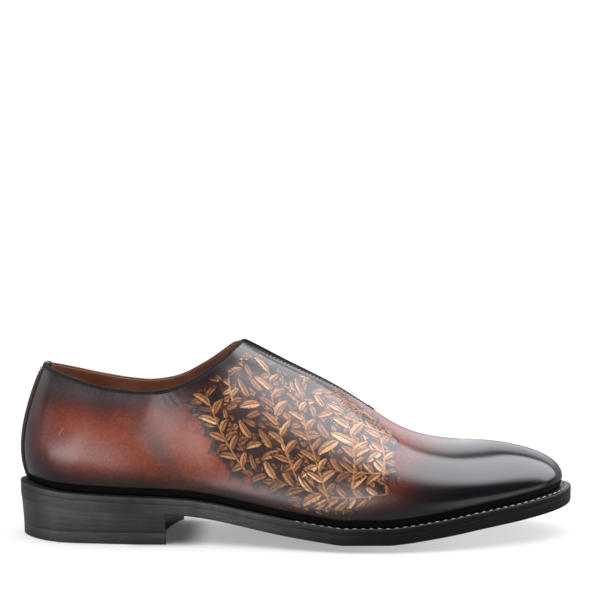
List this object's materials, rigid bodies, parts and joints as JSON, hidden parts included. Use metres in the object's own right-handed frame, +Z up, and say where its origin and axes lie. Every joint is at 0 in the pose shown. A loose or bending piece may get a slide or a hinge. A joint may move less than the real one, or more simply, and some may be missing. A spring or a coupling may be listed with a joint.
{
  "type": "wholecut slip-on shoe",
  "caption": "Right wholecut slip-on dress shoe: hollow one-piece leather upper with an elastic throat slit, on a welted leather sole with a low stacked heel.",
  "frame": {"origin": "centre of the bounding box on x and y, at the floor under the heel and the tread", "axes": "+X from heel to toe, +Y to the inner side of the foot, +Z up from the floor"},
  "size_m": [0.3034, 0.1026, 0.107],
  "materials": {
    "upper_leather": "hand-coloured red-brown calf, burnished dark at the toe, heel, collar and welt, polished",
    "strip_leather": "dark burnished calf",
    "elastic_black": "black woven elastic",
    "sole_leather": "black dyed and waxed sole leather",
    "heel_rubber": "black rubber",
    "insole_leather": "tan leather"
  },
  "bodies": {
    "root": {"upper": "upper_leather", "back_strip": "strip_leather", "elastic_gore": "elastic_black", "welt": "sole_leather", "outsole": "sole_leather", "heel_block": "sole_leather", "heel_top_piece": "heel_rubber", "insole": "insole_leather"}
  },
  "joints": []
}
